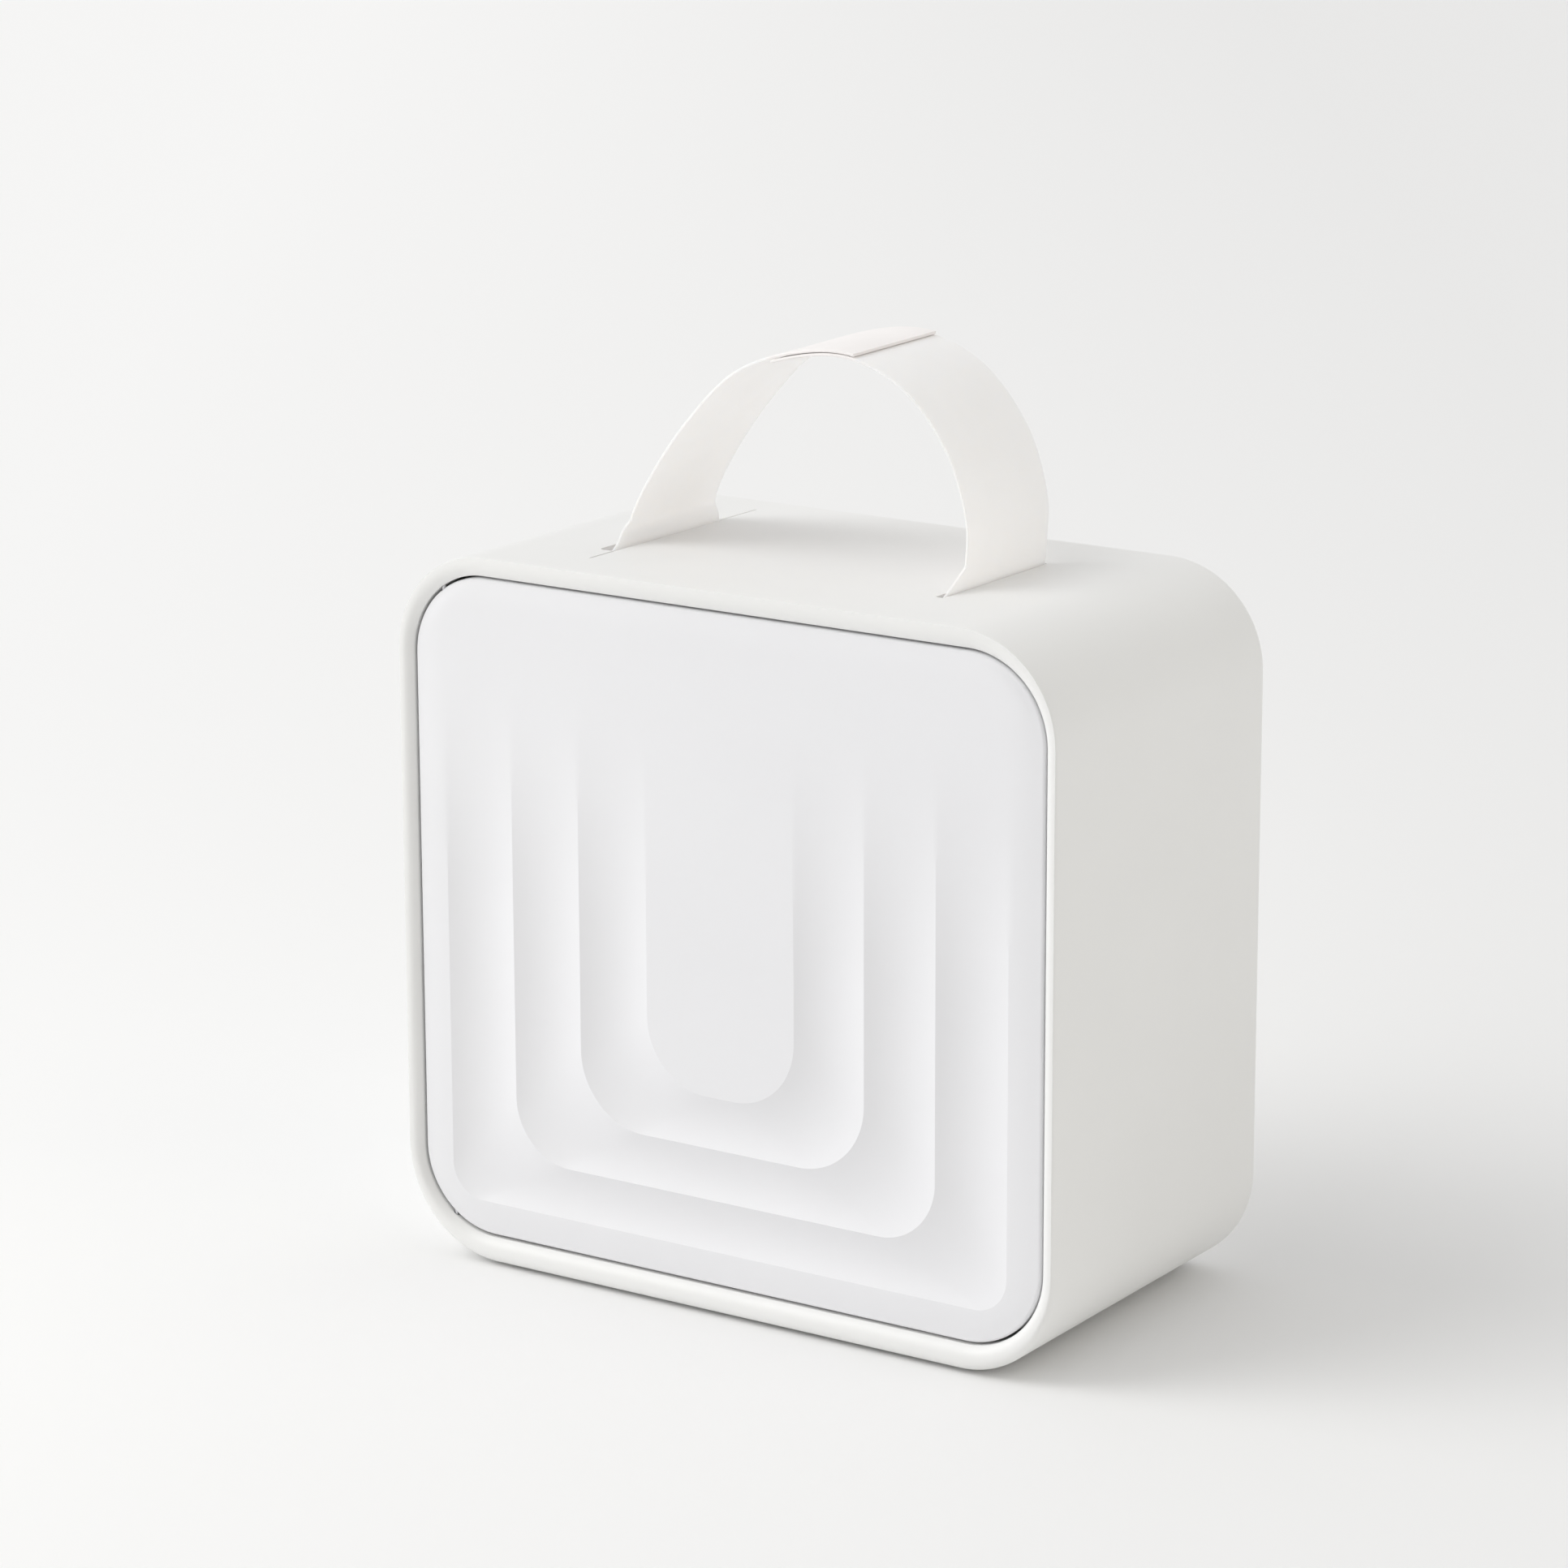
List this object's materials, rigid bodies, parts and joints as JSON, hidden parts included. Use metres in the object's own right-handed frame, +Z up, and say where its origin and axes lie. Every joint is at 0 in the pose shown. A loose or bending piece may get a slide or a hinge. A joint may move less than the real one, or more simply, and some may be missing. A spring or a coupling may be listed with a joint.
{
  "type": "mini fridge",
  "caption": "Small carry-along fridge: rounded casing, fluted inset door on hidden pins, arched carrying strap, fan-cooled cooling unit behind a foam-lined box.",
  "frame": {"origin": "on the surface the feet stand on, under the middle of the casing", "axes": "+Z up, front (the door) towards -Y, +X to the right seen from the front"},
  "size_m": [0.293, 0.155, 0.3661],
  "materials": {
    "casing": "satin white moulded plastic",
    "door": "satin cool white moulded plastic",
    "liner": "smooth white moulded plastic",
    "strap": "matt off-white soft band",
    "foam": "closed-cell foam",
    "seal": "matt grey soft rubber",
    "black": "matt black plastic",
    "steel": "bright steel",
    "aluminium": "bare extruded aluminium",
    "ceramic": "matt white ceramic faces",
    "board": "green solder mask",
    "tray": "clear moulded plastic"
  },
  "bodies": {
    "base": {"outer_shell": "casing", "rear_cover": "casing", "strap_anchor_left": "casing", "strap_anchor_right": "casing", "board_post_lower": "casing", "board_post_upper": "casing", "catch_plate": "steel", "hinge_pin_lower": "steel", "hinge_pin_upper": "steel", "inner_liner": "liner", "foam_insulation": "foam", "inner_fan_cover": "liner", "shelf": "tray", "shelf_rail_left": "liner", "shelf_rail_right": "liner", "cold_sink": "aluminium", "spacer_block": "aluminium", "heat_sink": "aluminium", "thermoelectric_module": "ceramic", "fan_frame": "black", "inner_fan_frame": "black", "control_board": "board", "power_supply": "black", "ac_inlet": "black", "dc_inlet": "black", "switch_bezel": "black", "foot_front_left": "seal", "foot_front_right": "seal", "foot_rear_left": "seal", "foot_rear_right": "seal", "cover_screw_left_low": "steel", "cover_screw_left_high": "steel", "cover_screw_right_low": "steel", "cover_screw_right_high": "steel", "strap_left": "strap", "strap_right": "strap"},
    "door": {"door_panel": "door", "door_liner": "liner", "door_foam": "foam", "door_gasket": "seal", "door_bin": "tray", "door_magnet": "steel"},
    "fan": {"fan_rotor": "black"},
    "inner_fan": {"inner_fan_rotor": "black"},
    "switch": {"mode_switch": "seal"}
  },
  "joints": [
    {"name": "door_hinge", "type": "hinge", "parent": "base", "child": "door", "pos_m": [-0.127, -0.0733, 0.0015], "axis": [0, 0, -1], "range_deg": [0, 90]},
    {"name": "fan_spin", "type": "hinge", "parent": "base", "child": "fan", "pos_m": [0, 0, 0.1865], "axis": [0, 1, 0], "continuous": true},
    {"name": "inner_fan_spin", "type": "hinge", "parent": "base", "child": "inner_fan", "pos_m": [0, 0, 0.1865], "axis": [0, 1, 0], "continuous": true},
    {"name": "switch_rock", "type": "hinge", "parent": "base", "child": "switch", "pos_m": [-0.095, 0.0712, 0.0435], "axis": [1, 0, 0], "range_deg": [-8, 8]}
  ]
}
